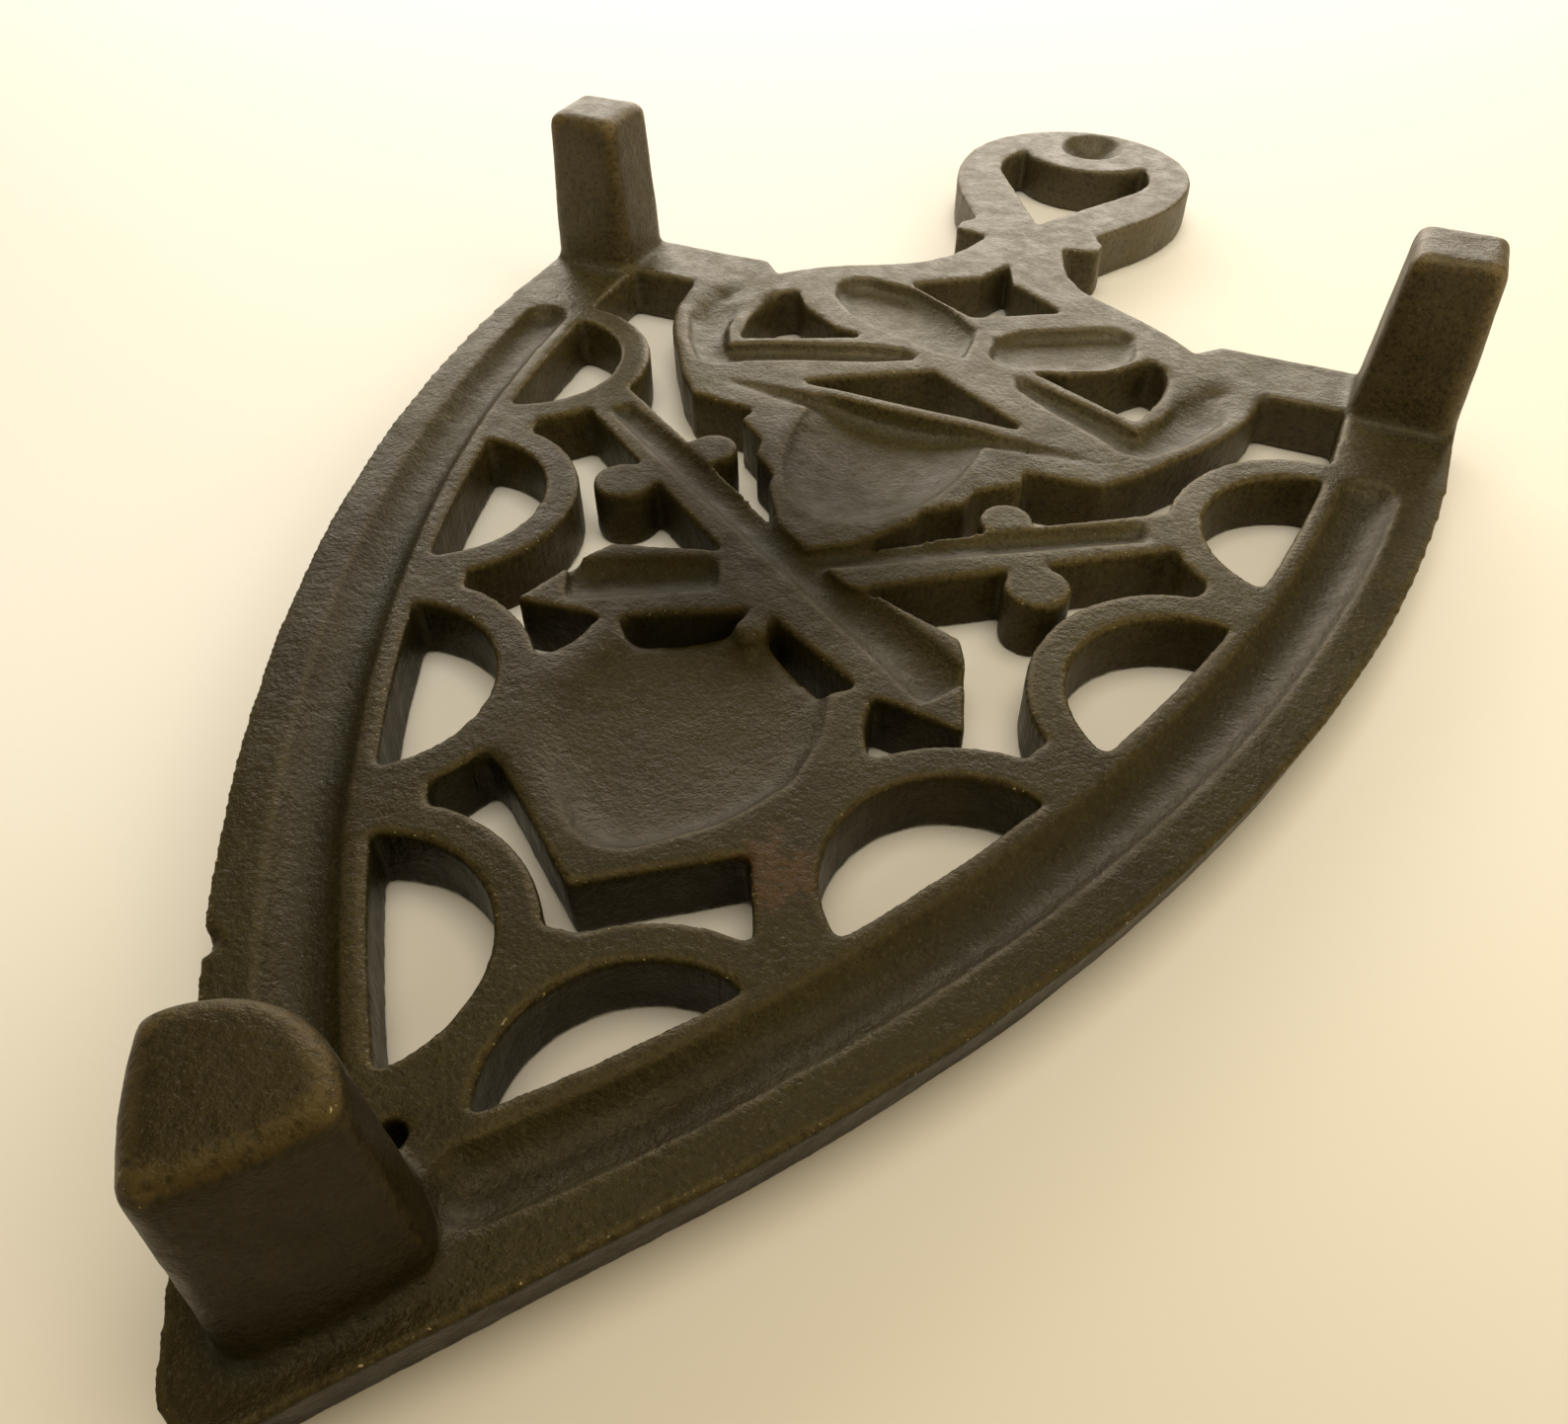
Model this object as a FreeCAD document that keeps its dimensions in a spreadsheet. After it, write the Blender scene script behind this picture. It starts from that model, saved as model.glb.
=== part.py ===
import FreeCAD, Part
import math
import os
import Sketcher

# A cast-iron stand for a sad iron, turned over: it lies on the flat face that carries the iron, and its
# three feet point up. X runs across the stand, which is symmetric about x = 0. Y runs from the toe to the
# handle and Z up. Plan positions are measured from the line through the two rear feet; datum_y shifts them
# so that the part's origin is the middle of its resting face.
DIMENSIONS = [
    ("plate_thick", 6.5, "thickness of the openwork plate"),
    ("foot_tall", 19.0, "height of a foot above the plate"),
    ("datum_y", 36.1, "from the origin to the line through the rear feet"),
    ("rail_radius", 180.4, "outer radius of each curved side rail"),
    ("rail_wide", 11.9, "width of a side rail"),
    ("rail_draft", 1.5, "how far a rail's outer wall leans in towards the resting face"),
    ("rail_centre_x", 122.0, "centre of a rail's curve, across the mirror plane"),
    ("rail_centre_y", -6.5, "centre of a rail's curve, from the rear feet"),
    ("rear_edge", 4.6, "rear edge of the plate behind the feet"),
    ("nose_start", -38.2, "degrees on the rail's curve where its outer edge turns straight"),
    ("tip_radius", 4.0, "rounding of the toe"),
    ("tip_centre_y", -137.1, "centre of the toe's rounding, from the rear feet"),
    ("groove_in", 7.1, "from a rail's outer edge to the middle of its groove"),
    ("groove_radius", 3.4, "radius of the groove's section"),
    ("groove_deep", 1.7, "depth of the groove"),
    ("scallop_first", 8.4, "degrees from the rail's centre line to the first scallop"),
    ("scallop_pitch", 9.87, "degrees from one scallop to the next"),
    ("scallop_out", 1.7, "from the rail's inner edge out to a scallop's centre"),
    ("scallop_hole", 10.9, "radius of the opening in a scallop"),
    ("scallop_radius", 14.5, "outer radius of a scallop"),
    ("lug_radius", 2.8, "radius of a cannon's upper trunnion"),
    ("wide_lug_radius", 3.3, "radius of a cannon's lower trunnion"),
    ("relief_deep", 2.4, "depth of the dished shield and leaf"),
    ("recess_deep", 1.7, "depth of the recesses in the crest"),
    ("loop_radius", 17.6, "outer radius of the handle loop's round end"),
    ("loop_centre", 51.4, "centre of the handle loop's round end"),
    ("eye_radius", 4.9, "radius of the round dimple in the handle loop"),
    ("pin_hole", 1.1, "radius of the small hole behind the toe foot"),
    ("foot_wide", 11.4, "side of a rear foot at its base"),
    ("foot_taper", 3.0, "draft angle of the feet in degrees"),
    ("foot_round", 1.6, "rounding of a foot's tip"),
]

SCALLOPS = 4
SIDES = (("left", -1), ("right", 1))

doc = FreeCAD.newDocument("IronStand")
dims = doc.addObject("Spreadsheet::Sheet", "dims")
for row, (alias, value, meaning) in enumerate(DIMENSIONS, start=1):
    dims.set("A%d" % row, meaning)
    dims.set("B%d" % row, str(value))
    dims.setAlias("B%d" % row, alias)
doc.recompute()
nodes = []


def size(alias):
    """A driving dimension, read from the sheet."""
    return float(dims.get(alias))


def bind(obj, **formulas):
    """Tie properties of an object to the sheet."""
    for prop, formula in formulas.items():
        obj.setExpression(prop, formula)


def put(obj, x, y, z, turn=FreeCAD.Rotation()):
    """Place an object: y counts from the rear feet, and z may be a formula."""
    obj.Placement = FreeCAD.Placement(FreeCAD.Vector(0, 0, 0), turn)
    obj.setExpression("Placement.Base.x", "%s" % x)
    obj.setExpression("Placement.Base.y", "dims.datum_y + (%s)" % y)
    obj.setExpression("Placement.Base.z", "%s" % z)


def turned(degrees):
    """Rotation in plan."""
    return FreeCAD.Rotation(FreeCAD.Vector(0, 0, 1), degrees)


# Plan outlines. An outline is a list of points; a point given as (through, end) closes an arc at its end.


def mirrored(outline, side):
    """The outline, or its mirror image when side is -1."""
    flipped = []
    for point in outline:
        if isinstance(point[0], tuple):
            flipped.append(tuple((side * x, y) for x, y in point))
        else:
            flipped.append((side * point[0], point[1]))
    return flipped


def both_halves(half):
    """A symmetric outline from its right half, which runs from one end of the axis to the other."""
    return half + [(-x, y) for x, y in reversed(half) if x > 0]


def outline_edges(outline):
    """Lines and arcs that join the points of an outline and close it."""
    corners = [p[1] if isinstance(p[0], tuple) else p for p in outline]
    edges = []
    for here, step in enumerate(outline):
        start = FreeCAD.Vector(*corners[here - 1], 0)
        end = FreeCAD.Vector(*corners[here], 0)
        if isinstance(step[0], tuple):
            edges.append(Part.Arc(start, FreeCAD.Vector(*step[0], 0), end))
        else:
            edges.append(Part.LineSegment(start, end))
    return edges


def plan_plane(body):
    """The horizontal plane of a body's own origin."""
    return next(plane for plane in body.Origin.OriginFeatures if plane.Role == "XY_Plane")


def sketch_on(body, name, outlines):
    """A sketch of closed outlines on a body's horizontal plane."""
    sketch = body.newObject("Sketcher::SketchObject", name)
    sketch.AttachmentSupport = [(plan_plane(body), "")]
    sketch.MapMode = "FlatFace"
    for outline in outlines:
        for edge in outline_edges(outline):
            index = sketch.addGeometry(edge, False)
            sketch.addConstraint(Sketcher.Constraint("Block", index))
    return sketch


def slab(name, *outlines, height="dims.plate_thick"):
    """A flat body padded from plan outlines; further outlines are openings in the first."""
    body = doc.addObject("PartDesign::Body", name)
    pad = body.newObject("PartDesign::Pad", name + "_pad")
    pad.Profile = sketch_on(body, name + "_sketch", outlines)
    bind(pad, Length=height)
    put(body, 0, 0, 0)
    return body


# Solids that shape the pieces.


def disc(name, x, y, radius, height="dims.plate_thick"):
    """A round solid as thick as the plate; its radius is a formula."""
    solid = doc.addObject("Part::Cylinder", name)
    bind(solid, Radius=radius, Height=height)
    put(solid, x, y, 0)
    return solid


def hollow(name, x, y, half_long, half_wide, depth, degrees=0.0):
    """The lower half of this ellipsoid sinks a dished hollow into the plate's upper face."""
    solid = doc.addObject("Part::Ellipsoid", name)
    bind(solid, Radius1=depth)
    solid.Radius2 = half_long
    solid.Radius3 = half_wide
    put(solid, x, y, "dims.plate_thick", turned(degrees))
    return solid


def pocket(name, outline, depth):
    """A flat-bottomed recess in the plate's upper face; its depth is a formula."""
    solid = slab(name, outline)
    put(solid, 0, 0, "dims.plate_thick - " + depth)
    return solid


def channel_radius(wide, deep):
    """Radius of the arc that is this wide at the plate's upper face and this deep."""
    return (wide ** 2 / 4 + deep ** 2) / (2 * deep)


def channel(name, start, end, wide, deep):
    """A cone that sinks a channel from start to end; wide and deep give its size at each."""
    radii = [channel_radius(w, d) for w, d in zip(wide, deep)]
    lift = [radius - d for radius, d in zip(radii, deep)]
    run = FreeCAD.Vector(end[0] - start[0], end[1] - start[1], lift[1] - lift[0])
    solid = doc.addObject("Part::Cone", name)
    solid.Radius1, solid.Radius2 = radii
    solid.Height = run.Length
    along = FreeCAD.Rotation(FreeCAD.Vector(0, 0, 1), run)
    put(solid, start[0], start[1], "dims.plate_thick + %s" % lift[0], along)
    return solid


def combine(kind, name, first, *others):
    """A boolean of document objects: Part::Cut, Part::Common or Part::Fuse."""
    for count, other in enumerate(others):
        result = doc.addObject(kind, "%s_%d" % (name, count))
        result.Base = first
        result.Tool = other
        first = result
    return first


def cut(name, first, *others):
    return combine("Part::Cut", name, first, *others)


def common(name, first, *others):
    return combine("Part::Common", name, first, *others)


def fuse(name, first, *others):
    return combine("Part::Fuse", name, first, *others)


def node(label, shape):
    """Name a finished sub-part."""
    shape.Label = label
    nodes.append(shape)
    return shape


# Side rails, with their grooves.


def rail_point(side, degrees, radius):
    """A point at an angle on one rail's curve, seen from that curve's centre."""
    angle = math.radians(degrees)
    x = -size("rail_centre_x") + radius * math.cos(angle)
    return side * x, size("rail_centre_y") + radius * math.sin(angle)


def nose_outline():
    """The toe's point: straight sides that leave the rails' curves and touch the rounded tip."""
    start_x, start_y = rail_point(1, size("nose_start"), size("rail_radius"))
    radius = size("tip_radius")
    centre_y = size("tip_centre_y")
    reach = math.hypot(start_x, start_y - centre_y)
    touch = math.atan2(start_y - centre_y, start_x) - math.acos(radius / reach)
    touch_x, touch_y = radius * math.cos(touch), centre_y + radius * math.sin(touch)
    behind = start_y + 6
    tip = (0, centre_y - radius)
    return [(start_x, behind), (start_x, start_y), (touch_x, touch_y), (tip, (-touch_x, touch_y)),
            (-start_x, start_y), (-start_x, behind)]


def nose():
    """The toe's point as a solid, whose walls lean in towards the resting face as the rails' do."""
    body = doc.addObject("PartDesign::Body", "nose")
    pad = body.newObject("PartDesign::Pad", "nose_pad")
    pad.Profile = sketch_on(body, "nose_sketch", [nose_outline()])
    pad.Reversed = True
    bind(pad, Length="dims.plate_thick", TaperAngle="-atan(dims.rail_draft / dims.plate_thick)")
    put(body, 0, 0, "dims.plate_thick")
    return body


def rail_groove(name, side):
    """The groove along a rail: part of a torus, with a ball at each end."""
    first, last = -5.0, -42.0
    ring = doc.addObject("Part::Torus", name)
    bind(ring, Radius1="dims.rail_radius - dims.groove_in", Radius2="dims.groove_radius")
    ring.Angle3 = first - last
    start = last if side > 0 else 180 - first
    middle = "dims.plate_thick + dims.groove_radius - dims.groove_deep"
    centre_x = "%d * dims.rail_centre_x" % -side
    put(ring, centre_x, "dims.rail_centre_y", middle, turned(start))
    balls = []
    for degrees in (first, last):
        ball = doc.addObject("Part::Sphere", "%s_end" % name)
        bind(ball, Radius="dims.groove_radius")
        x, y = rail_point(side, degrees, size("rail_radius") - size("groove_in"))
        put(ball, x, y, middle)
        balls.append(ball)
    return fuse(name + "_tool", ring, *balls)


def side_rail(label, side, point, pin):
    """A curved rail from the rear corner to the toe, where it meets its mirror image."""
    centre_x = "%d * dims.rail_centre_x" % -side
    whole = doc.addObject("Part::Cone", label + "_cone")
    bind(whole, Radius1="dims.rail_radius - dims.rail_draft", Radius2="dims.rail_radius")
    bind(whole, Height="dims.plate_thick")
    put(whole, centre_x, "dims.rail_centre_y", 0)
    inside = disc(label + "_inside", centre_x, "dims.rail_centre_y", "dims.rail_radius - dims.rail_wide")
    rear = size("rear_edge")
    half = slab(label + "_half", mirrored([(0, rear), (80, rear), (80, -150), (0, -150)], side))
    pointed = common(label + "_blank", fuse(label + "_pointed", whole, point), half)
    return node(label, cut(label, pointed, inside, pin, rail_groove(label + "_groove", side)))


# Scallops: half-round bands along the inner edge of each rail, four on each side.


# The pattern was laid out by hand: two scallops of the right side stand off their regular places.
OFF_PLACE = {(1, 2): (-0.6, -0.5), (1, 3): (1.3, -1.9)}


def scallop_centre(side, index):
    """Centre of one scallop."""
    degrees = -(size("scallop_first") + index * size("scallop_pitch"))
    x, y = rail_point(side, degrees, size("rail_radius") - size("rail_wide") + size("scallop_out"))
    off_x, off_y = OFF_PLACE.get((side, index), (0, 0))
    return x + off_x, y + off_y


def scallop_web(name, side, index):
    """The small web that closes the corner between a scallop and the one behind it."""
    degrees = -(size("scallop_first") + (index - 0.5) * size("scallop_pitch"))
    inner = size("rail_radius") - size("rail_wide")
    reach = 4.4
    spread = 0.45
    foot = [rail_point(side, degrees + bend, inner + 2) for bend in (1.6, -1.6)]
    end = [rail_point(side, degrees + bend, inner - reach) for bend in (-spread, spread)]
    return slab(name, foot + end)


TOE_WEB = [(0, -103.6), (0, -124), (7, -124), (7, -112), (2.6, -103)]
THICK_WEB = [(11, -90.4), (15, -98.4), (20, -98), (20, -88)]


def scallops(label, side, pin):
    """Four scallops of one side, and their uncut outlines, which trim the pieces that meet them."""
    centre_x = "%d * dims.rail_centre_x" % -side
    outers = []
    for index in range(SCALLOPS):
        name = "%s_%d" % (label, index + 1)
        x, y = scallop_centre(side, index)
        outer = disc(name + "_disc", x, y, "dims.scallop_radius")
        if index:
            outer = fuse(name + "_outer", outer, scallop_web(name + "_web", side, index))
        if index == SCALLOPS - 1:
            outer = fuse(name + "_last", outer, slab(name + "_toe_web", mirrored(TOE_WEB, side)))
        if (side, index) == (1, 2):
            outer = fuse(name + "_thick", outer, slab(name + "_thick_web", THICK_WEB))
        opening = disc(name + "_hole", x, y, "dims.scallop_hole")
        within = disc(name + "_within", centre_x, "dims.rail_centre_y", "dims.rail_radius - dims.rail_wide")
        band = common(name + "_band", cut(name + "_open", outer, opening), within)
        if index:
            band = cut(name + "_apart", band, outers[-1])
        if index == SCALLOPS - 1:
            half = slab(name + "_half", mirrored([(0, -90), (40, -90), (40, -130), (0, -130)], side))
            band = cut(name + "_pin", common(name + "_half_band", band, half), pin)
        outers.append(outer)
        node(name, band)
    return outers


# Crossed cannons. The left one lies on top, so the right one is in two lengths.

BARREL = [(-32.2, -32.6), (5.5, -57.3), (9.5, -57.6), (18.5, -60.5), (19.8, -63), (22.7, -72), (13.3, -70.8),
          (2.3, -65.1), (-8.4, -56.6), (-35.6, -37.6)]
TRUNNIONS = (((-16.9, -40.7), "dims.lug_radius"), ((-22.9, -50.1), "dims.wide_lug_radius"))
MUZZLE = (-30.6, -37.2)
BREECH = (19.6, -67.2)
OVER = (2.2, -56.2)
UNDER = (-6.4, -60.6)


def cannon_blank(name, side):
    """A cannon's outline, whose muzzle is on the given side, with its two trunnions."""
    flip = -side
    barrel = slab(name, mirrored(BARREL, flip))
    lugs = []
    for index, ((x, y), radius) in enumerate(TRUNNIONS):
        lugs.append(disc("%s_lug%d" % (name, index), flip * x, y, radius))
    return fuse(name + "_lugged", barrel, *lugs)


def keep_side(name, shape, side):
    """The part of a shape on one side of the mirror plane."""
    box = slab(name, mirrored([(0, -20), (60, -20), (60, -90), (0, -90)], side))
    return common(name + "_part", shape, box)


def cannons(trims):
    """Both cannons, cut back where they meet the scallops, each with a channel along it."""
    left = cut("cannon_left_trim", cannon_blank("left_blank", -1), *trims)
    right = cut("cannon_right_trim", cannon_blank("right_blank", 1), left, *trims)
    along_left = channel("channel_left", MUZZLE, BREECH, (3.0, 6.6), (1.1, 1.5))
    muzzle, over = mirrored([MUZZLE, OVER], -1)
    along_barrel = channel("channel_barrel", muzzle, over, (3.0, 4.6), (1.1, 1.3))
    under, breech = UNDER, mirrored([BREECH], -1)[0]
    along_breech = channel("channel_breech", under, breech, (5.4, 6.6), (1.2, 1.5))
    node("cannon_left", cut("cannon_left_done", left, along_left))
    node("cannon_right_barrel", cut("cannon_right_done", keep_side("barrel_side", right, 1), along_barrel))
    node("cannon_right_breech", cut("cannon_breech_done", keep_side("breech_side", right, -1), along_breech))
    return left, right


# Shield and serrated leaf, both dished.

SHIELD = both_halves([(0, -60), (1.5, -66.6), (9.8, -72.2), (12.2, -70.4), (14, -71.4), (14.5, -74.6),
                      (15.8, -77.2), (19, -80), (19, -88), (12, -91), (0, -99.8)])
SHIELD_DISH = both_halves([(0, -69.2), (2.2, -66.5), (9.2, -71), (10.7, -74), (11.4, -77.2),
                           (11.2, -83.4), (7.9, -89.4), (2.4, -94.7), (0, -95.3)])
LEAF = both_halves([(0, -23.6), (14.4, -23.6), (16.2, -31.7), (16.6, -34), (12.5, -37.2),
                    (12.3, -39.6), (8.6, -42.8), (8.3, -44.8), (5.6, -49), (0, -56)])


def shield(trims):
    """The shield hangs from the crossing of the cannons, between the third scallops."""
    blank = slab("shield_slab", SHIELD)
    bowl = hollow("shield_bowl", 0, -80.4, 12.2, 15.9, "dims.relief_deep")
    dish = common("shield_dish", bowl, pocket("shield_rim", SHIELD_DISH, "3.5"))
    return node("shield", cut("shield_done", blank, *trims, dish))


def leaf(trims):
    """The leaf below the crest: its dish has a straight upper edge and a thin spike to each side."""
    blank = slab("leaf_slab", LEAF)
    bowl = hollow("leaf_bowl", 0, -29.5, 10.6, 18.5, "dims.relief_deep")
    upper_edge = -25.4
    below = slab("leaf_below", [(20, upper_edge), (-20, upper_edge), (-20, -60), (20, -60)], height="30")
    dish = common("leaf_dish", bowl, below)
    return node("leaf", cut("leaf_done", blank, *trims, dish, *leaf_spikes("leaf")))


def leaf_spikes(name):
    """Two thin tapered grooves that lead out of the leaf's dish."""
    spikes = []
    for label, side in SIDES:
        root, point = (side * 6, -27), (side * 22.8, -27)
        spikes.append(channel("%s_spike_%s" % (name, label), root, point, (3.4, 0.8), (1.8, 0.4)))
    return spikes


# Crest: shoulders, curved arms and crossed bars, round four openings.

KITE_SIDE = (10.4, 5.7)
KITE_FOOT = (0, 0)
BAR_END = [(17.2, 6), (22.5, 3.2), (23.5, -2)]
GAP_UPPER = [(20.5, -6), (15, -9.6)]
GAP_TIP = (10.4, -10.2)
GAP_FOOT = (25, -16.7)
GAP_SIDE = (26.2, -11.5)
GAP_TOP = (26.2, -5.2)
TRIANGLE_TOP = (0, -15)
TRIANGLE_SIDE = (14.4, -23.6)
OVERLAP = [(3.4, -5), (4.5, -11.5)]
BAR_LINE = -5.2
NOTCH = (28, 1.8)
NECK_FOOT = (7.2, 19)

SHOULDERS = both_halves([(0, 19), NECK_FOOT, (8.5, 16), (11.5, 12.6), (15.5, 10.2), (20.5, 7.5), (24, 5.4),
                         NOTCH, (28, BAR_LINE), GAP_TOP, (25.6, -3.6), BAR_END[2], BAR_END[1], BAR_END[0],
                         KITE_SIDE, (2.2, 11), (0, 16.5)])
ARM = [(28, BAR_LINE), (37.5, BAR_LINE), ((36.2, -12.5), (31.5, -21.6)), (28, -27), (24.4, -31),
       (16.2, -31.7), TRIANGLE_SIDE, GAP_FOOT, GAP_SIDE, GAP_TOP]
REAR_BAR = [(60, size("rear_edge")), (31, size("rear_edge")), NOTCH, (28, BAR_LINE), (60, BAR_LINE)]
UPPER_BAR = [KITE_FOOT] + OVERLAP + [GAP_TIP] + GAP_UPPER[::-1] + BAR_END[::-1] + [KITE_SIDE]
LOWER_BAR = [GAP_TIP, GAP_FOOT, TRIANGLE_SIDE, TRIANGLE_TOP]

LONG_RECESS = [(-19.2, 1.2), ((-18.2, 3.6), (-15, 4.8)), (-9, 4.2), (-3.5, 1.2), (1.8, -3.5),
               (2.4, -10.8), (-2, -10), (-9.7, -7.3), (-15, -4.6), (-18.2, -1.5)]
UPPER_RECESS = [(21, 0.9), ((19.8, 3), (17.2, 3.8)), (7.2, -1.2), (4.6, -4.6), (5.2, -9),
                (7.4, -10.4), (11.8, -9.4), (18.8, -6.5), (21.6, -2.7)]
STRIP_END_RIGHT = [(10.3, -14.8), (9.5, -12)]
STRIP_END_LEFT = [(7.4, -15.6), (2.2, -12.7), (5, -11.6), (8.9, -12.2)]
ARM_RECESS = [(19.5, -16), (25.6, -18.9), (27.8, -14.5), (28.4, -10), ((31.2, -8), (34, -10)),
              (33.8, -13.4), (31.2, -18.8), (27.6, -23.4), (25, -23.7), (21.8, -21.4), (16.5, -18.8)]


def through_bar():
    """Outline of the bar that passes from the upper left to the lower right."""
    upper = mirrored([KITE_FOOT, KITE_SIDE] + BAR_END + GAP_UPPER + [GAP_TIP], -1)
    return upper + [TRIANGLE_TOP, TRIANGLE_SIDE, GAP_FOOT, GAP_TIP] + OVERLAP[::-1]


def crest():
    """All the pieces of the crest, with recesses that leave narrow rims round the openings."""
    deep = "dims.recess_deep"
    shallow = "0.8 * dims.recess_deep"
    sunk = {}
    for label, side in SIDES:
        inner_end = STRIP_END_LEFT if side < 0 else STRIP_END_RIGHT
        sunk[label] = pocket("arm_recess_" + label, mirrored(inner_end + ARM_RECESS, side), shallow)
    node("crest_shoulders", slab("crest_shoulders", SHOULDERS))
    through = slab("through_bar", through_bar())
    long_recess = pocket("long_recess", LONG_RECESS, deep)
    node("crest_bar_through", cut("through_bar_done", through, long_recess, sunk["left"], sunk["right"]))
    upper = slab("upper_bar", UPPER_BAR)
    node("crest_bar_upper", cut("upper_bar_done", upper, pocket("upper_recess", UPPER_RECESS, shallow)))
    lower = slab("lower_bar", mirrored(LOWER_BAR, -1))
    node("crest_bar_lower", cut("lower_bar_done", lower, sunk["left"]))
    for label, side in SIDES:
        arm = slab("arm_" + label, mirrored(ARM, side))
        dimple = hollow("arm_dimple_" + label, side * 32, -6.4, 2.6, 1.9, deep, 90)
        hollows = [sunk[label], dimple] + leaf_spikes("arm_" + label)
        node("crest_arm_" + label, cut("arm_done_" + label, arm, *hollows))


def rear_bar(label, side):
    """The straight bar from the crest to a rail, at the rear feet."""
    bar = slab(label + "_slab", mirrored(REAR_BAR, side))
    centre_x = "%d * dims.rail_centre_x" % -side
    within = disc(label + "_within", centre_x, "dims.rail_centre_y", "dims.rail_radius - dims.rail_wide")
    return node(label, common(label, bar, within))


# Handle: a neck, a collar with a lug on each side, and a loop with a heart-shaped opening.

NECK_TOP = 24.0
COLLAR_TOP = 29.5


def handle():
    """The three pieces of the handle."""
    neck = both_halves([(0, 19), NECK_FOOT, (5.6, NECK_TOP), (0, NECK_TOP)])
    node("handle_neck", slab("handle_neck", neck))
    collar = both_halves([(0, NECK_TOP), (5.6, NECK_TOP), (10.4, NECK_TOP + 0.8), (10.4, 27.5),
                          (9, COLLAR_TOP), (0, COLLAR_TOP)])
    node("handle_collar", slab("handle_collar", collar))
    radius = size("loop_radius")
    centre = size("loop_centre")
    outer = [(9, COLLAR_TOP), (12.6, 35.6), ((16.1, 42.8), (radius, centre)),
             ((0, centre + radius), (-radius, centre)), ((-16.1, 42.8), (-12.6, 35.6)), (-9, COLLAR_TOP)]
    heart = [(0, 30.6), (6.2, 41), (9.6, 46.4), ((11.3, 52.5), (9.4, 57.2)), ((0, 52.4), (-9.4, 57.2)),
             ((-11.3, 52.5), (-9.6, 46.4)), (-6.2, 41)]
    loop = slab("loop_slab", outer, heart)
    sphere = doc.addObject("Part::Sphere", "eye")
    lift = 3.4
    bind(sphere, Radius="sqrt(dims.eye_radius^2 + %s^2)" % lift)
    put(sphere, 0, 62.6, "dims.plate_thick + %s" % lift)
    node("handle_loop", cut("loop_done", loop, sphere))


# Feet.


def foot(label, outline, x, y):
    """A tapered foot that stands on the plate, with a rounded tip."""
    body = doc.addObject("PartDesign::Body", label)
    pad = body.newObject("PartDesign::Pad", label + "_pad")
    pad.Profile = sketch_on(body, label + "_sketch", [outline])
    bind(pad, Length="dims.foot_tall", TaperAngle="-dims.foot_taper")
    doc.recompute()
    top = max(range(len(pad.Shape.Faces)), key=lambda i: pad.Shape.Faces[i].CenterOfMass.z)
    rounding = body.newObject("PartDesign::Fillet", label + "_round")
    rounding.Base = (pad, ["Face%d" % (top + 1)])
    bind(rounding, Radius="dims.foot_round")
    put(body, x, y, "dims.plate_thick")
    return node(label, body)


def rounded_square(side, radius):
    """A square outline with rounded corners."""
    half = side / 2
    flat = half - radius
    bend = flat + radius / math.sqrt(2)
    outline = []
    for sx, sy in ((1, 1), (-1, 1), (-1, -1), (1, -1)):
        first, last = (sx * half, sy * flat), (sx * flat, sy * half)
        if sx * sy < 0:
            first, last = last, first
        outline += [first, ((sx * bend, sy * bend), last)]
    return outline


def feet():
    """Two square rear feet and a wedge-shaped toe foot with a round back."""
    square = rounded_square(size("foot_wide"), 2.2)
    for label, side in SIDES:
        foot("rear_foot_" + label, square, side * 52.4, -1.1)
    wedge = [((5.2, -5.6), (7.9, -1.2)), ((0, 3.6), (-7.9, -1.2)), ((-5.2, -5.6), (-1.6, -9.6)),
             ((0, -10.2), (1.6, -9.6))]
    foot("toe_foot", wedge, 0, -126.6)


def check(objects):
    """Stop if anything in the document failed, or a sub-part is empty or broken."""
    for obj in doc.Objects:
        if "Invalid" in obj.State or "Error" in obj.State:
            raise RuntimeError("failed: " + obj.Name)
    for obj in objects:
        if obj.Shape.isNull() or not obj.Shape.isValid() or not obj.Shape.Solids:
            raise RuntimeError("bad shape: " + obj.Label)


def build():
    """Make every sub-part."""
    pin = disc("pin", 0, -121.9, "dims.pin_hole")
    point = nose()
    outers = []
    for label, side in SIDES:
        side_rail("rail_" + label, side, point, pin)
        outers += scallops("scallop_" + label, side, pin)
        rear_bar("rear_bar_" + label, side)
    left, right = cannons([outer for index, outer in enumerate(outers) if index % SCALLOPS < 3])
    shield([outer for index, outer in enumerate(outers) if index % SCALLOPS > 1] + [left, right])
    leaf([left, right])
    crest()
    handle()
    feet()
    doc.recompute()


build()
check(nodes)
os.makedirs("parts", exist_ok=True)
for sub_part in nodes:
    sub_part.Shape.exportStep("parts/%s.step" % sub_part.Label)
    box = sub_part.Shape.optimalBoundingBox()
    print("%-22s solids %d  volume %8.1f  x %6.1f %6.1f  y %6.1f %6.1f  z %5.1f %5.1f" % (
        sub_part.Label, len(sub_part.Shape.Solids), sub_part.Shape.Volume,
        box.XMin, box.XMax, box.YMin, box.YMax, box.ZMin, box.ZMax))
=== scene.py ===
from math import radians

import bpy
import numpy as np
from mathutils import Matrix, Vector, noise
from mathutils.bvhtree import BVHTree


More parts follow.
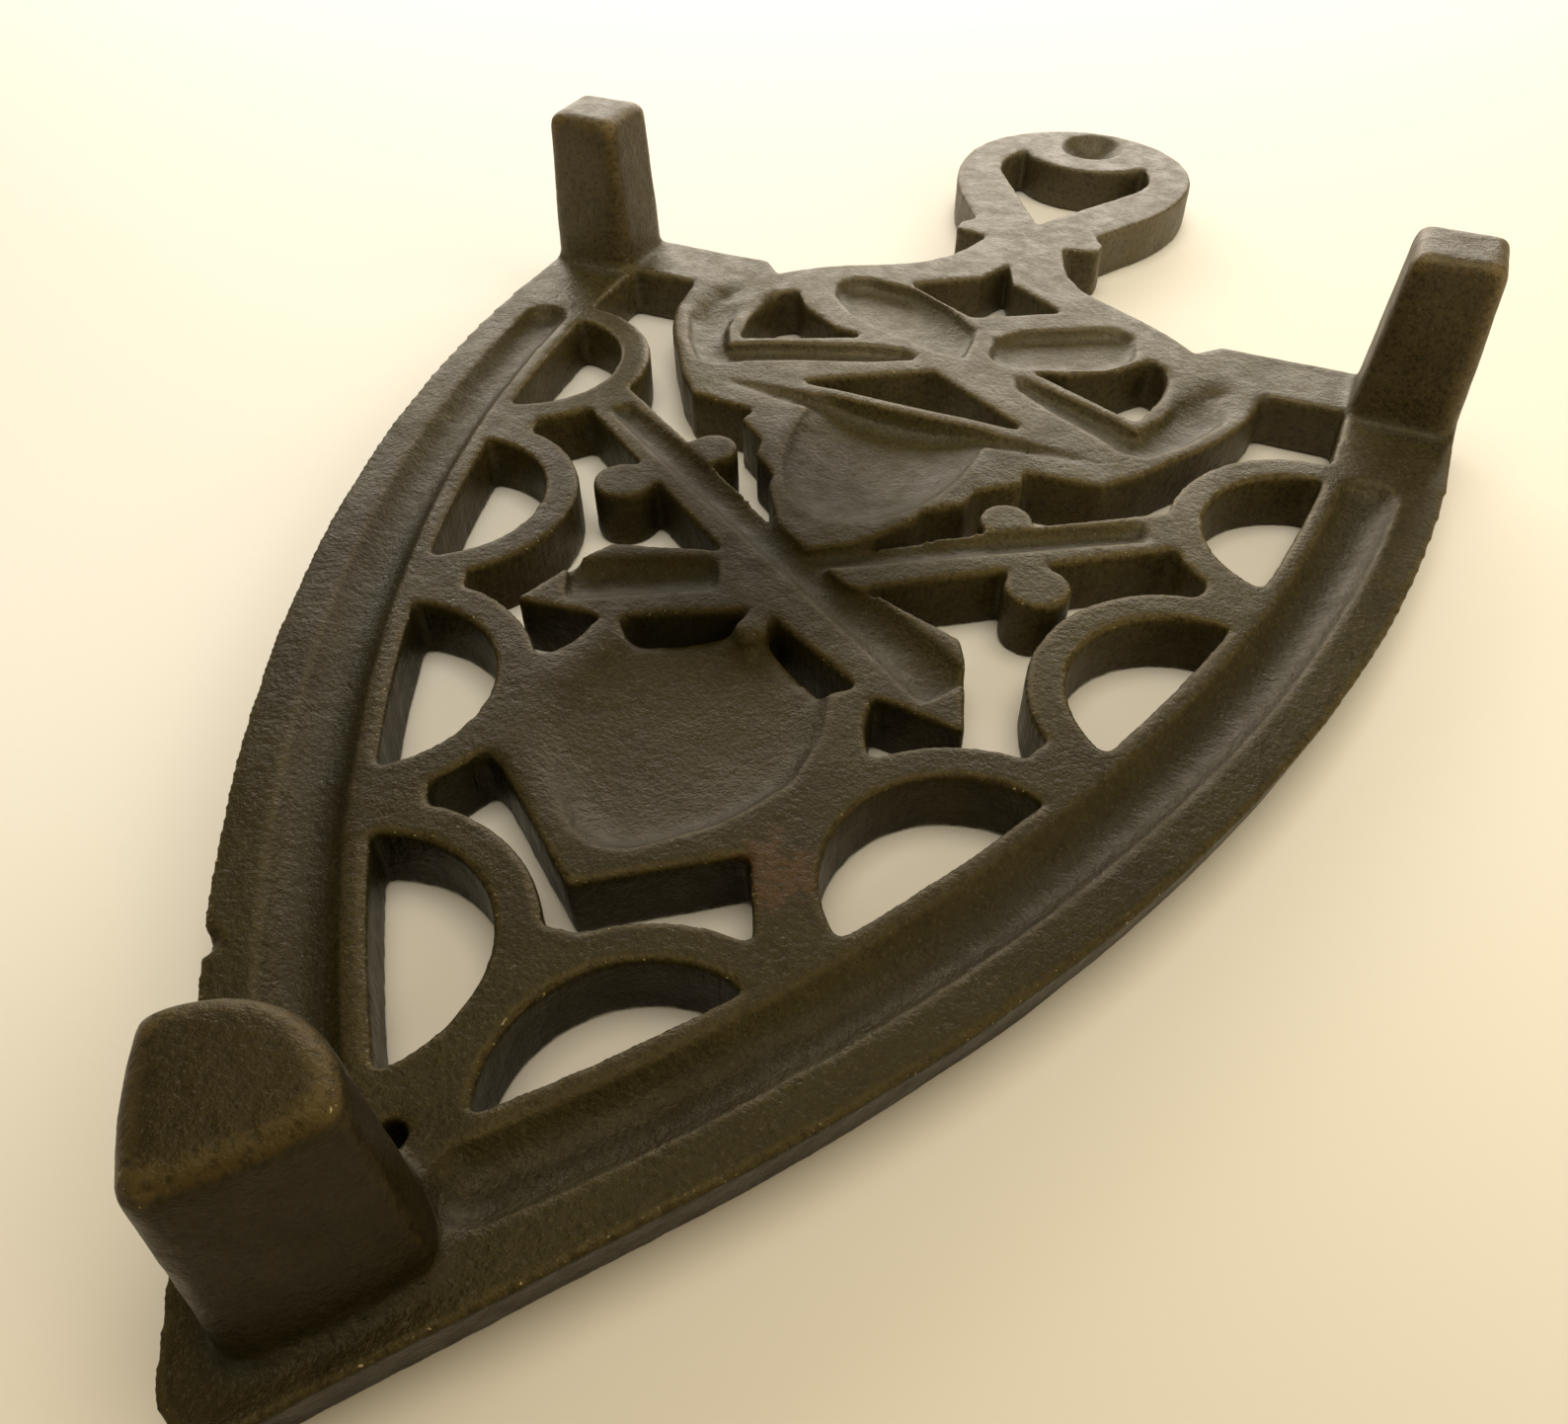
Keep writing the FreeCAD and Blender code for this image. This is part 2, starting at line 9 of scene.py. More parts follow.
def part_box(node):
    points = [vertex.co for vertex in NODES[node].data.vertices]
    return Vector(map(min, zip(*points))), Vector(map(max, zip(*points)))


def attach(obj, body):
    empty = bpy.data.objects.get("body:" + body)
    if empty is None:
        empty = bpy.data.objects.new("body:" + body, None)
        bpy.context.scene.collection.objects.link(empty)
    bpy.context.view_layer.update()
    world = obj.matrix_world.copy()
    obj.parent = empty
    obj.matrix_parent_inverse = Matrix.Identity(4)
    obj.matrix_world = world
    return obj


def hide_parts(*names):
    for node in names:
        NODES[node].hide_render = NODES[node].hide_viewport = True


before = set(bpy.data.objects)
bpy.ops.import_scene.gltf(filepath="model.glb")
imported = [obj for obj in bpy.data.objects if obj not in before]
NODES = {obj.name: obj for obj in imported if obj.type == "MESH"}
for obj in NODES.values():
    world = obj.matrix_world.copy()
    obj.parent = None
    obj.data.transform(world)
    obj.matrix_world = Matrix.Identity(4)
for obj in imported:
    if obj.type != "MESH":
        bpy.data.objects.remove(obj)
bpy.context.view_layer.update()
MM = 0.001
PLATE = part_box("shield")[1][2]

# The casting: voxel size, rounds of each smoothing, and the size and height in mm of its unevenness
VOXEL = (0.0004)
EVEN_ROUNDS = 20
EDGE_ROUNDS = 4
FILLET_ROUNDS = 10
FINE_ROUNDS = 6
WIDE_ROUNDS = 60
WAVES = ((9.0, 0.10), (2.8, 0.032), (1.2, 0.03))

# Caps: a triangle's area over its edges' squares below which it is a sliver, and the cost that rules one out
SLIVER = 0.02
BAD = 1e3 * MM * MM

# ---------------------------------------------------------------------------
# Mesh helpers


def arrays(mesh):
    """Vertex positions, edges and quads of a mesh."""
    co = np.empty(len(mesh.vertices) * 3, np.float32)
    mesh.vertices.foreach_get("co", co)
    edges = np.empty(len(mesh.edges) * 2, np.int32)
    mesh.edges.foreach_get("vertices", edges)
    loops = np.empty(len(mesh.loops), np.int32)
    mesh.loops.foreach_get("vertex_index", loops)
    return co.reshape(-1, 3).astype(float), edges.reshape(-1, 2), loops.reshape(-1, 4)


def spread(index, values, count):
    """Sum of the values that go to each index."""
    return np.stack([np.bincount(index, values[:, k], count) for k in range(3)], 1)


class Surface:
    """A quad mesh, whole or in part, held in arrays."""

    def __init__(self, co, edges, quads, valence=None):
        self.co, self.edges, self.quads = co, edges, quads
        self.valence = valence
        if valence is None:
            self.valence = np.bincount(edges.ravel(), minlength=len(co))[:, None]

    def pull(self, co):
        """From each vertex to the middle of its neighbours."""
        a, b = self.edges.T
        total = spread(a, co[b], len(co)) + spread(b, co[a], len(co))
        return total / self.valence - co

    def normals(self):
        co, quads = self.co, self.quads
        across = np.cross(co[quads[:, 2]] - co[quads[:, 0]], co[quads[:, 3]] - co[quads[:, 1]])
        total = sum(spread(quads[:, k], across, len(co)) for k in range(4))
        return total / np.maximum(np.linalg.norm(total, axis=1, keepdims=True), 1e-20)

    def even(self, times):
        """Take the voxels' steps out and keep the shape: each inward step is undone by an outward one."""
        for _ in range(times):
            self.relax(1, 0.5)
            self.relax(1, -0.53)

    def relax(self, times, rate=0.5):
        """Move each vertex towards the middle of its neighbours."""
        for _ in range(times):
            self.co = self.co + rate * self.pull(self.co)

    def fill_corners(self, times, rate=0.5):
        """Round the inner corners only, as a casting's fillets do. Each vertex may have a rate of its own."""
        for _ in range(times):
            normal = self.normals()
            rise = np.sum(self.pull(self.co) * normal, axis=1, keepdims=True)
            self.co = self.co + rate * np.maximum(rise, 0) * normal

    def locally(self, action, times, weight):
        """Do relax or fill_corners only where the weight isn't nought."""
        inside = weight > 0
        index, local = np.unique(self.quads[inside[self.quads].any(1)], return_inverse=True)
        edges = np.searchsorted(index, self.edges[inside[self.edges].any(1)])
        part = Surface(self.co[index], edges, local.reshape(-1, 4), self.valence[index])
        action(part, times, 0.5 * weight[index][:, None])
        self.co[index] = part.co

    def relief(self, times):
        """How far a surface averaged over a wider patch lies above each vertex: positive in hollows."""
        soft = self.co
        for _ in range(times):
            soft = soft + 0.5 * self.pull(soft)
        return np.sum((soft - self.co) * self.normals(), axis=1)


def noise_at(points, scale, seed):
    """Smooth noise from -1 to 1 with features of the given size in metres."""
    shift = Vector((seed * 7.31, seed * 3.77, seed * 5.13))
    return np.array([noise.noise(Vector(p) + shift) for p in points / scale])


# ---------------------------------------------------------------------------
# One casting from the CAD nodes


def joined(names):
    """The meshes of the nodes as one mesh."""
    co, faces = [], []
    for name in names:
        mesh = NODES[name].data
        faces += [tuple(len(co) + v for v in p.vertices) for p in mesh.polygons]
        co += [tuple(v.co) for v in mesh.vertices]
    mesh = bpy.data.meshes.new("joined")
    mesh.from_pydata(co, [], faces)
    return mesh


def fused(names):
    """The nodes cast in one: a voxel mesh of their union, without what lies inside it."""
    source = bpy.data.objects.new("joined", joined(names))
    bpy.context.scene.collection.objects.link(source)
    remesh = source.modifiers.new("voxels", "REMESH")
    remesh.mode = "VOXEL"
    remesh.voxel_size = VOXEL
    mesh = bpy.data.meshes.new_from_object(source.evaluated_get(bpy.context.evaluated_depsgraph_get()))
    bpy.data.objects.remove(source)
    return mesh


def islands(count, links):
    """A label for each item, the same throughout a linked group."""
    label = np.arange(count)
    while True:
        low = np.minimum(label[links[:, 0]], label[links[:, 1]])
        new = label.copy()
        np.minimum.at(new, links[:, 0], low)
        np.minimum.at(new, links[:, 1], low)
        new = new[new]
        if (new == label).all():
            return label
        label = new


# ---------------------------------------------------------------------------
# Which node each quad belongs to


def quad_edges(quads):
    """The four directed edges of each quad, one below another."""
    return np.stack([quads, np.roll(quads, -1, axis=1)], 2).reshape(-1, 2)


def neighbours(quads, count):
    """For each quad the four quads across its edges."""
    ends = quad_edges(quads)
    key = ends.min(1).astype(np.int64) * count + ends.max(1)
    pairs = np.argsort(key, kind="stable").reshape(-1, 2)
    across = np.empty(len(ends), int)
    across[pairs[:, 0]] = pairs[:, 1] // 4
    across[pairs[:, 1]] = pairs[:, 0] // 4
    return across.reshape(-1, 4)


def nearest_node(points, names):
    """For each point the number of the CAD node whose surface is nearest."""
    best = np.full(len(points), np.inf)
    owner = np.zeros(len(points), int)
    margin = 1.5 * MM
    for number, name in enumerate(names):
        mesh = NODES[name].data
        tree = BVHTree.FromPolygons([v.co for v in mesh.vertices], [p.vertices for p in mesh.polygons])
        low, high = (np.array(corner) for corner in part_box(name))
        inside = np.all((points > low - margin) & (points < high + margin), axis=1)
        for i in np.nonzero(inside)[0]:
            distance = tree.find_nearest(points[i])[3]
            if distance < best[i]:
                best[i], owner[i] = distance, number
    return owner


def smooth_lines(owner, across):
    """Straighten the lines between nodes: a quad goes with its neighbours where three of them agree."""
    for _ in range(4):
        near = np.sort(owner[across], axis=1)
        agreed = (near[:, 0] == near[:, 2]) | (near[:, 1] == near[:, 3])
        owner = np.where(agreed, near[:, 1], owner)
    return owner


def in_largest(owner, patches):
    """True for the quads in each node's largest patch."""
    numbers, counts = np.unique(patches, return_counts=True)
    largest = {}
    for number, size in zip(numbers, counts):
        node = owner[number]
        if size > largest.get(node, (0, 0))[0]:
            largest[node] = (size, number)
    return np.isin(patches, [number for _, number in largest.values()])


def hand_over(owner, keep, across):
    """Give the quads that aren't kept to the nodes beside them, from the outside in."""
    while not keep.all():
        loose = np.nonzero(~keep)[0]
        kept = keep[across[loose]]
        found = kept.any(1)
        pick = across[loose[found], kept[found].argmax(1)]
        owner[loose[found]] = owner[pick]
        keep[loose[found]] = True


def border(quads):
    """Directed edges round a patch of quads."""
    known = set(map(tuple, quad_edges(quads).tolist()))
    return [(a, b) for a, b in known if (b, a) not in known]


def pinched(owner, quads):
    """Vertices where the edge of one node's patch touches itself."""
    found = set()
    for number in np.unique(owner):
        starts = [a for a, b in border(quads[owner == number])]
        values, counts = np.unique(starts, return_counts=True)
        found.update(values[counts > 1].tolist())
    return sorted(found)


def tidy_owner(owner, quads, across):
    """Smooth the lines between nodes, and leave each node one patch whose edge never touches itself."""
    owner = smooth_lines(owner, across)
    links = np.stack([np.repeat(np.arange(len(quads)), 4), across.ravel()], 1)
    for _ in range(6):
        same = owner[links[:, 0]] == owner[links[:, 1]]
        patches = islands(len(quads), links[same])
        hand_over(owner, in_largest(owner, patches), across)
        touching = pinched(owner, quads)
        if not touching:
            break
        for vertex in touching:
            around = np.nonzero((quads == vertex).any(1))[0]
            owner[around] = np.bincount(owner[around]).argmax()
    return owner


# ---------------------------------------------------------------------------
# The casting cut apart again, each piece closed with caps


def rings(edges):
    """Closed rings of vertices from directed border edges."""
    following = dict(edges)
    result = []
    while following:
        start, here = following.popitem()
        ring = [start]
        while here != start:
            ring.append(here)
            here = following.pop(here)
        result.append(ring)
    return result


def triangle_cost(first, second, upright):
    """What triangles cost in a cap, from two of their edges. Slivers are ruled out, and so are level
    triangles in an upright cap."""
    across = np.cross(first, second)
    area = np.linalg.norm(across, axis=-1)
    squares = np.sum(first ** 2 + second ** 2 + (second - first) ** 2, axis=-1)
    cost = area + SLIVER * squares + BAD * (area < SLIVER * squares)
    if upright:
        level = np.abs(across[..., 2])
        cost = cost + 4 * level + BAD * (level > 0.5 * area)
    return cost


def best_middles(points, corner):
    """For each span of a ring the vertex that makes the cheapest triangle with the span's ends.

    A corner is a vertex of one quad only. Cutting it off would fold the cap back on that quad, and a stub,
    two corners side by side, would give the cap an edge that the quad has already."""
    count = len(points)
    upright = np.ptp(points[:, 2]) > 2 * MM
    stub = corner * np.roll(corner, -1)
    cost = np.zeros((count, count))
    middle = np.zeros((count, count), int)
    for gap in range(2, count):
        i = np.arange(count - gap)[:, None]
        k = i + np.arange(1, gap)[None, :]
        j = i + gap
        total = cost[i, k] + cost[k, j] + triangle_cost(points[k] - points[i], points[j] - points[i], upright)
        if gap == 2:
            total[:, 0] += BAD * (0.3 + corner[1:-1])
        if gap == 3:
            total += BAD * stub[1:-2, None]
        if gap == count - 3:
            total += BAD * np.roll(stub, 2)[:3, None]
        if gap == count - 1:
            total[0, 0] += BAD * (0.3 + corner[0])
            total[0, -1] += BAD * (0.3 + corner[-1])
        best = total.argmin(1)
        row = np.arange(count - gap)
        cost[row, row + gap] = total[row, best]
        middle[row, row + gap] = row + 1 + best
    return middle


def cap(points, corner):
    """Triangles that close a ring."""
    middle = best_middles(points, corner)
    triangles, open_spans = [], [(0, len(points) - 1)]
    while open_spans:
        i, j = open_spans.pop()
        if j - i > 1:
            k = middle[i, j]
            triangles.append((j, k, i))
            open_spans += [(i, k), (k, j)]
    return triangles


def flat_normal(a, b, c):
    across = np.cross(b - a, c - a)
    return (across / max(np.linalg.norm(across), 1e-20)).tolist()


def piece(name, surface, normals, mine, values):
    """One node's share of the casting as a closed mesh, shaded as part of the whole."""
    quads = surface.quads[mine]
    used, local = np.unique(quads, return_inverse=True)
    local = local.reshape(-1, 4)
    co = surface.co[used]
    corner = (np.bincount(local.ravel()) == 1).astype(float)
    caps = []
    for ring in rings(border(local)):
        caps += [tuple(ring[v] for v in triangle) for triangle in cap(co[ring], corner[ring])]
    mesh = bpy.data.meshes.new(name)
    mesh.from_pydata(co.tolist(), [], local.tolist() + [tuple(int(v) for v in t) for t in caps])
    mesh.shade_smooth()
    for key, value in values.items():
        attribute = mesh.attributes.new(key, "FLOAT", "POINT")
        attribute.data.foreach_set("value", (value[used] / MM).astype(np.float32))
    shading = normals[quads.ravel()].tolist()
    for triangle in caps:
        shading += [flat_normal(*(co[v] for v in triangle))] * 3
    mesh.normals_split_custom_set(shading)
    obj = bpy.data.objects.new(name, mesh)
    bpy.context.scene.collection.objects.link(obj)
    return obj


# ---------------------------------------------------------------------------
# What the pattern's carver and years of use did


def upper(co):
    """One on the plate's upper half, nought below it."""
    return (co[:, 2] > 0.6 * PLATE).astype(float)


def patch(co, middle, radius):
    """One at a place in plan, fading to nought at a radius from it."""
    away = np.hypot(co[:, 0] - middle[0], co[:, 1] - middle[1])
    return np.clip(2 - 2 * away / radius, 0, 1) * upper(co)


def between(co, low, high):
    """One inside a box in plan on the plate's upper half."""
    inside = np.all((co[:, :2] > low[:2]) & (co[:, :2] < high[:2]), axis=1)
    return inside * upper(co)


def soften_crest(surface):
    """Round the hollows from the crest's arms to its shoulders."""
    low = np.minimum(*(np.array(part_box("crest_arm_" + side)[0]) for side in ("left", "right")))
    high = np.array(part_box("crest_shoulders")[1])
    high[0] = -low[0]
    surface.locally(Surface.fill_corners, 36, between(surface.co, low, high))


def soften_shield(surface):
    """Let the shield's dish run out softly at its rear left, and round its hollow."""
    low, high = (np.array(corner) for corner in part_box("shield"))
    middle = (low + high) / 2
    half = (high - low) / 2
    bowl = patch(surface.co, (middle[0] - 0.1 * half[0], middle[1]), 0.92 * half[0])
    lean = (surface.co[:, 0] - middle[0]) / half[0] - (surface.co[:, 1] - middle[1]) / half[1]
    surface.locally(Surface.relax, 110, bowl * np.clip(0.8 - 1.2 * lean, 0, 1))
    surface.locally(Surface.fill_corners, 30, between(surface.co, low, high))


def soften_arm_ends(surface):
    """Smooth the ends of the crest's arms into the bars beside them."""
    for side, outer in (("left", -1), ("right", 1)):
        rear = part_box("crest_arm_" + side)[1][1]
        end = (outer * 31.5 * MM, rear - 1.5 * MM)
        surface.locally(Surface.relax, 60, patch(surface.co, end, 7 * MM))


def nick(surface):
    """A knock in the left rail's upper edge, not far from the toe."""
    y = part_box("rail_left")[0][1] + 25.5 * MM
    radius, depth = 1.5 * MM, 0.8 * MM
    co = surface.co
    near = co[(np.abs(co[:, 1] - y) < 0.5 * MM) & (co[:, 2] > 0.8 * PLATE) & (co[:, 0] < 0)]
    edge = near[near[:, 0].argmin()]
    away = np.linalg.norm(co - edge, axis=1) / radius
    surface.co -= surface.normals() * (depth * np.clip(1 - away ** 2, 0, 1))[:, None]


def roughen(surface):
    """The slight unevenness of iron cast in sand."""
    wave = sum(height * noise_at(surface.co, size * MM, seed) for seed, (size, height) in enumerate(WAVES, 1))
    surface.co = surface.co + surface.normals() * (wave * MM)[:, None]


names = sorted(NODES)
casting = Surface(*arrays(fused(names)))
owner = nearest_node(casting.co[casting.quads].mean(1), names)
owner = tidy_owner(owner, casting.quads, neighbours(casting.quads, len(casting.co)))
casting.even(EVEN_ROUNDS)
casting.relax(EDGE_ROUNDS)
casting.fill_corners(FILLET_ROUNDS)
for change in (soften_crest, soften_shield, soften_arm_ends, nick):
    change(casting)
reliefs = {"relief_fine": casting.relief(FINE_ROUNDS), "relief_wide": casting.relief(WIDE_ROUNDS)}
roughen(casting)
normals = casting.normals()
pieces = {}
for number, name in enumerate(names):
    part = piece("cast_" + name, casting, normals, owner == number, reliefs)
    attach(part, "root")
    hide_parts(name)
    pieces[name] = part

# ---------------------------------------------------------------------------
# Materials


class Nodes:
    """Short calls that add shader nodes to a material. Sizes are in metres."""

    def __init__(self, name):
        self.material = bpy.data.materials.new(name)
        self.material.use_nodes = True
        self.tree = self.material.node_tree
        self.tree.nodes.clear()
        geometry = self.add("ShaderNodeNewGeometry")
        self.place = geometry.outputs["Position"]
        self.normal = geometry.outputs["Normal"]

    def add(self, kind, **inputs):
        node = self.tree.nodes.new(kind)
        for name, value in inputs.items():
            self.feed(node.inputs[name], value)
        return node

    def feed(self, socket, value):
        """Link a socket to another, or set it to a constant."""
        if isinstance(value, bpy.types.NodeSocket):
            self.tree.links.new(value, socket)
        else:
            socket.default_value = value

    def noise(self, size, detail=3.0, rough=0.55, warp=0.0, place=None):
        node = self.add("ShaderNodeTexNoise", Vector=place or self.place, Scale=1 / size, Detail=detail,
                        Roughness=rough, Distortion=warp)
        return node.outputs["Fac"]

    def attribute(self, name):
        node = self.add("ShaderNodeAttribute")
        node.attribute_name = name
        return node.outputs["Fac"]

    def ramp(self, value, low, high, bottom=0.0, top=1.0):
        """A smooth step from bottom to top as the value goes from low to high."""
        node = self.add("ShaderNodeMapRange")
        node.interpolation_type = "SMOOTHSTEP"
        for socket, number in zip(node.inputs, (value, low, high, bottom, top)):
            self.feed(socket, number)
        return node.outputs["Result"]

    def vector(self, kind, a, b, output=0):
        node = self.add("ShaderNodeVectorMath")
        node.operation = kind
        self.feed(node.inputs[0], a)
        self.feed(node.inputs[1], b)
        return node.outputs[output]

    def away(self, place):
        """Distance from a place."""
        return self.vector("DISTANCE", self.place, place, "Value")

    def axis(self, vector, number):
        """One of a vector's three coordinates."""
        return self.add("ShaderNodeSeparateXYZ", Vector=vector).outputs[number]

    def math(self, kind, a, b=0.0):
        node = self.add("ShaderNodeMath")
        node.operation = kind
        self.feed(node.inputs[0], a)
        self.feed(node.inputs[1], b)
        return node.outputs[0]

    def plus(self, a, b):
        return self.math("ADD", a, b)

    def times(self, a, b):
        return self.math("MULTIPLY", a, b)

    def mix(self, share, a, b):
        node = self.add("ShaderNodeMix")
        node.data_type = "RGBA"
        self.feed(node.inputs[0], share)
        self.feed(node.inputs[6], a)
        self.feed(node.inputs[7], b)
        return node.outputs[2]

    def bump(self, height, strength, distance, normal=None):
        node = self.add("ShaderNodeBump", Height=height, Strength=strength, Distance=distance)
        if normal:
            self.feed(node.inputs["Normal"], normal)
        return node.outputs["Normal"]

    def finish(self, **inputs):
        """The material, with the inputs on its shader."""
        shader = self.add("ShaderNodeBsdfPrincipled")
        for name, value in inputs.items():
            self.feed(shader.inputs[name.replace("_", " ")], value)
        output = self.add("ShaderNodeOutputMaterial")
        self.feed(output.inputs["Surface"], shader.outputs[0])
        return self.material


class Iron(Nodes):
    """Blackened cast iron: darker brown-black towards the toe with painted shade, and lighter and greyer
    towards the handle, partly a dust haze and partly painted glare.
    """

    SLATE = (0.024, 0.025, 0.020, 1)
    # Painted bounce light on upright faces
    BOUNCE_LIT_WALL = (0.058, 0.042, 0.011, 1)
    RUST = (0.050, 0.025, 0.007, 1)
    FRESH_RUST = (0.085, 0.036, 0.012, 1)
    # Partly dust haze, partly painted glare towards the handle
    HAZE_AND_GLARE = (0.088, 0.071, 0.038, 1)
    PIT = (0.006, 0.0045, 0.0006, 1)
    SAND = (0.120, 0.100, 0.060, 1)
    # Painted shade towards the toe
    TOE_SHADE = (0.003, 0.0024, 0.0002, 1)
    # Painted highlight: glints
    PAINTED_GLINT = (0.26, 0.21, 0.10, 1)
    # Darker in a patch in the middle
    MIDDLE_DARK = (0.008, 0.006, 0.001, 1)
    OILY_SHEEN = (1.0, 0.80, 0.46, 1)
    DRY_SHEEN = (1.0, 0.90, 0.72, 1)

    def __init__(self, name):
        super().__init__(name)
        uneven = self.ramp(self.noise(20 * MM), 0.3, 0.7, -12 * MM, 12 * MM)
        # Nought at the toe, one at the handle: the painted glare haze and the painted shade towards the toe
        # follow it
        self.towards_handle = self.ramp(self.plus(self.axis(self.place, 1), uneven), -70 * MM, 90 * MM)
        self.upright = self.ramp(self.math("ABSOLUTE", self.axis(self.normal, 2)), 0.6, 0.2)
        # A patch in the middle, above the shield, darker in colour and duller
        above_shield = (-4 * MM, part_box("shield")[1][1] + 10 * MM, PLATE)
        self.middle_patch = self.ramp(self.away(above_shield), 26 * MM, 10 * MM)
        self.grain = self.noise(0.6 * MM, 3, 0.65)
        self.sand = self.noise(0.35 * MM, 2, 0.7)

    def metal(self, dark, olive, worn_and_lit, rim_strength):
        """Mottled metal, bluish in the hollows, lighter and browner on upright faces as painted bounce light
        from the floor, and lighter on the rims, partly bare metal and partly a painted edge highlight.
        """
        hollow = self.ramp(self.attribute("relief_wide"), 0.05, 0.35)
        hollow = self.times(hollow, self.ramp(self.noise(6 * MM, 4), 0.3, 0.6, 0.3, 0.9))
        # Painted bounce light from the floor: upright faces lighter and browner, in patches
        bounce_lit_upright = self.times(self.upright, self.ramp(self.noise(4 * MM, 4, 0.65), 0.3, 0.65, 0.1, 0.6))
        # Lighter rims: partly bare metal, partly a painted edge highlight
        rim = self.ramp(self.attribute("relief_fine"), -0.024, -0.070, 0.0, rim_strength)
        tone = self.mix(self.ramp(self.noise(12 * MM, 5, 0.6, 0.3), 0.35, 0.65), dark, olive)
        tone = self.mix(hollow, tone, self.SLATE)
        tone = self.mix(bounce_lit_upright, tone, self.BOUNCE_LIT_WALL)
        return self.mix(rim, tone, worn_and_lit)

    def rusted(self, tone):
        """Faint rust in places, and a fresh patch beside the third right opening."""
        tone = self.mix(self.ramp(self.noise(7 * MM, 6, 0.7, 0.5), 0.64, 0.74, 0.0, 0.5), tone, self.RUST)
        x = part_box("scallop_right_4")[1][0] - 5.5 * MM
        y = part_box("shield")[0][1] + 7.5 * MM
        ragged = self.ramp(self.noise(3 * MM, 4, 0.7), 0.3, 0.7, -2.2 * MM, 2.2 * MM)
        fresh = self.ramp(self.plus(self.away((x, y, PLATE)), ragged), 4.2 * MM, 1.5 * MM, 0.0, 0.75)
        return self.mix(fresh, tone, self.FRESH_RUST)

    def weathering_and_painted_light(self, tone):
        """A haze towards the handle, partly dust and partly painted glare; painted shade towards the toe; a
        darker patch in the middle; pits and sand specks all over; and painted glints on sharp edges.
        """
        # Painted glare, partly dust haze: lighter and greyer towards the handle
        tone = self.mix(self.times(self.times(self.towards_handle, self.towards_handle), 0.55), tone, self.HAZE_AND_GLARE)
        tone = self.mix(self.ramp(self.grain, 0.52, 0.36, 0.0, 0.60), tone, self.PIT)
        tone = self.mix(self.ramp(self.sand, 0.56, 0.70, 0.0, 0.35), tone, self.SAND)
        # Painted shade: darker towards the toe, more so on its upright faces
        toe_upright_shade = self.times(self.upright, self.ramp(self.towards_handle, 0.0, 0.2, 0.28, 0.0))
        tone = self.mix(self.plus(self.ramp(self.towards_handle, 0.0, 0.55, 0.55, 0.0), toe_upright_shade), tone, self.TOE_SHADE)
        # Painted highlight: glinting specks on sharp edges
        edge = self.ramp(self.attribute("relief_fine"), -0.04, -0.10)
        tone = self.mix(self.times(edge, self.ramp(self.noise(0.4 * MM, 2), 0.66, 0.74)), tone, self.PAINTED_GLINT)
        return self.mix(self.times(self.middle_patch, 0.5), tone, self.MIDDLE_DARK)

    def skin(self, filed):
        """Sand grain and pits, with upright file marks where the iron is filed."""
        pits = self.noise(1.8 * MM, 4, 0.65)
        marks = self.noise(0.6 * MM, 3, 0.6, place=self.vector("MULTIPLY", self.place, (1, 1, 0.12)))
        normal = self.bump(self.sand, self.ramp(self.towards_handle, 0.2, 1, 0.5, 0.3), 0.10 * MM)
        normal = self.bump(self.grain, self.ramp(self.towards_handle, 0.2, 1, 0.75, 0.45), 0.16 * MM, normal)
        normal = self.bump(pits, self.ramp(self.towards_handle, 0.2, 1, 0.40, 0.3), 0.30 * MM, normal)
        depth = self.ramp(self.towards_handle, 0.2, 0.7, filed, 0.0)
        return self.bump(self.times(marks, self.upright), depth, 0.25 * MM, normal)

    def material_of(self, dark, olive, worn_and_lit, rim_strength, filed):
        """The finished material. The darker middle patch dulls it, and the handle end shines more and less
        warmly.
        """
        rough = self.ramp(self.noise(2.5 * MM, 4, 0.6), 0.3, 0.7, 0.38, 0.52)
        rough = self.plus(rough, self.times(self.towards_handle, 0.05))
        rough = self.plus(rough, self.times(self.middle_patch, 0.10))
        shine = self.times(self.ramp(self.towards_handle, 0.3, 1, 0.20, 0.56), self.ramp(self.middle_patch, 0, 1, 1, 0.5))
        sheen = self.mix(self.ramp(self.towards_handle, 0.2, 1), self.OILY_SHEEN, self.DRY_SHEEN)
        tone = self.weathering_and_painted_light(self.rusted(self.metal(dark, olive, worn_and_lit, rim_strength)))
        return self.finish(Base_Color=tone, Roughness=rough, Specular_IOR_Level=shine, Specular_Tint=sheen,
                           Normal=self.skin(filed))


plate_iron = Iron("plate_iron").material_of(dark=(0.015, 0.0105, 0.0012, 1), olive=(0.028, 0.022, 0.003, 1),
                                            worn_and_lit=(0.075, 0.054, 0.016, 1), rim_strength=0.6, filed=0.7)
foot_iron = Iron("foot_iron").material_of(dark=(0.018, 0.0115, 0.0012, 1), olive=(0.034, 0.023, 0.004, 1),
                                          worn_and_lit=(0.110, 0.074, 0.024, 1), rim_strength=0.9, filed=0.0)
for node, part in pieces.items():
    part.data.materials.append(foot_iron if "foot" in node else plate_iron)


